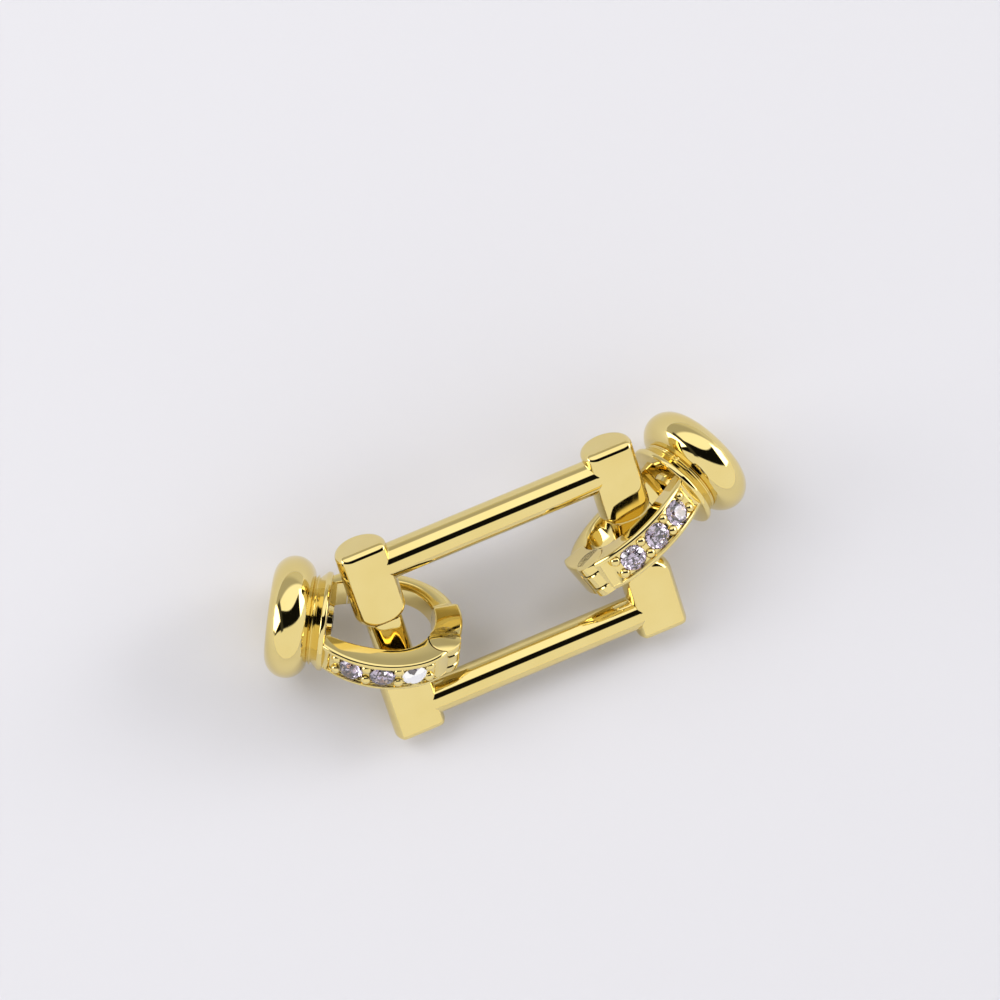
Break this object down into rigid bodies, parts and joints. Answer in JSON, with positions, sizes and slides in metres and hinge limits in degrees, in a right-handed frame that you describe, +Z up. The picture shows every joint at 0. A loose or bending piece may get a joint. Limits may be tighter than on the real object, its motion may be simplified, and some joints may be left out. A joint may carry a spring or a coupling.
{
  "type": "hinged-loop necklace clasp with rectangular link",
  "caption": "Gold-plated necklace clasp: a rectangular link with a D-shaped, stone-set snap loop hung on each end post, each ending in a round button drilled for a strand.",
  "frame": {"origin": "middle of the base of the bounding box: the point of the floor below the clasp's middle, as it rests", "axes": "+X along the link's bars from the left loop to the right one, +Z up from the floor, +Y towards the raised side of the link"},
  "size_m": [0.0332, 0.014, 0.0093],
  "materials": {
    "link_gold": "mirror-polished pale yellow gold plate",
    "loop_gold": "mirror-polished pale yellow gold plate",
    "gate_gold": "mirror-polished pale yellow gold plate",
    "pin_gold": "polished gold plate",
    "stone": "clear round brilliant-cut zirconia"
  },
  "bodies": {
    "link": {"link": "link_gold"},
    "left_loop": {"left_loop": "loop_gold", "left_hinge_pin": "pin_gold", "left_stone_1": "stone", "left_stone_2": "stone", "left_stone_3": "stone"},
    "left_gate": {"left_gate": "gate_gold"},
    "right_loop": {"right_loop": "loop_gold", "right_hinge_pin": "pin_gold", "right_stone_1": "stone", "right_stone_2": "stone", "right_stone_3": "stone"},
    "right_gate": {"right_gate": "gate_gold"}
  },
  "joints": [
    {"name": "left_loop_swing", "type": "hinge", "parent": "link", "child": "left_loop", "pos_m": [-0.00866, -0.00034, 0.00484], "axis": [0, 0.866, 0.5], "range_deg": [-88, 132]},
    {"name": "right_loop_swing", "type": "hinge", "parent": "link", "child": "right_loop", "pos_m": [0.00844, -0.00034, 0.00484], "axis": [0, 0.866, 0.5], "range_deg": [-128.1, 91.9]},
    {"name": "left_gate_hinge", "type": "hinge", "parent": "left_loop", "child": "left_gate", "pos_m": [-0.00585, -0.00237, 0.00569], "axis": [-0.1979, -0.53, -0.8246], "range_deg": [0, 60]},
    {"name": "right_gate_hinge", "type": "hinge", "parent": "right_loop", "child": "right_gate", "pos_m": [0.00533, -0.00167, 0.00607], "axis": [-0.3447, 0.8746, 0.341], "range_deg": [0, 60]}
  ]
}
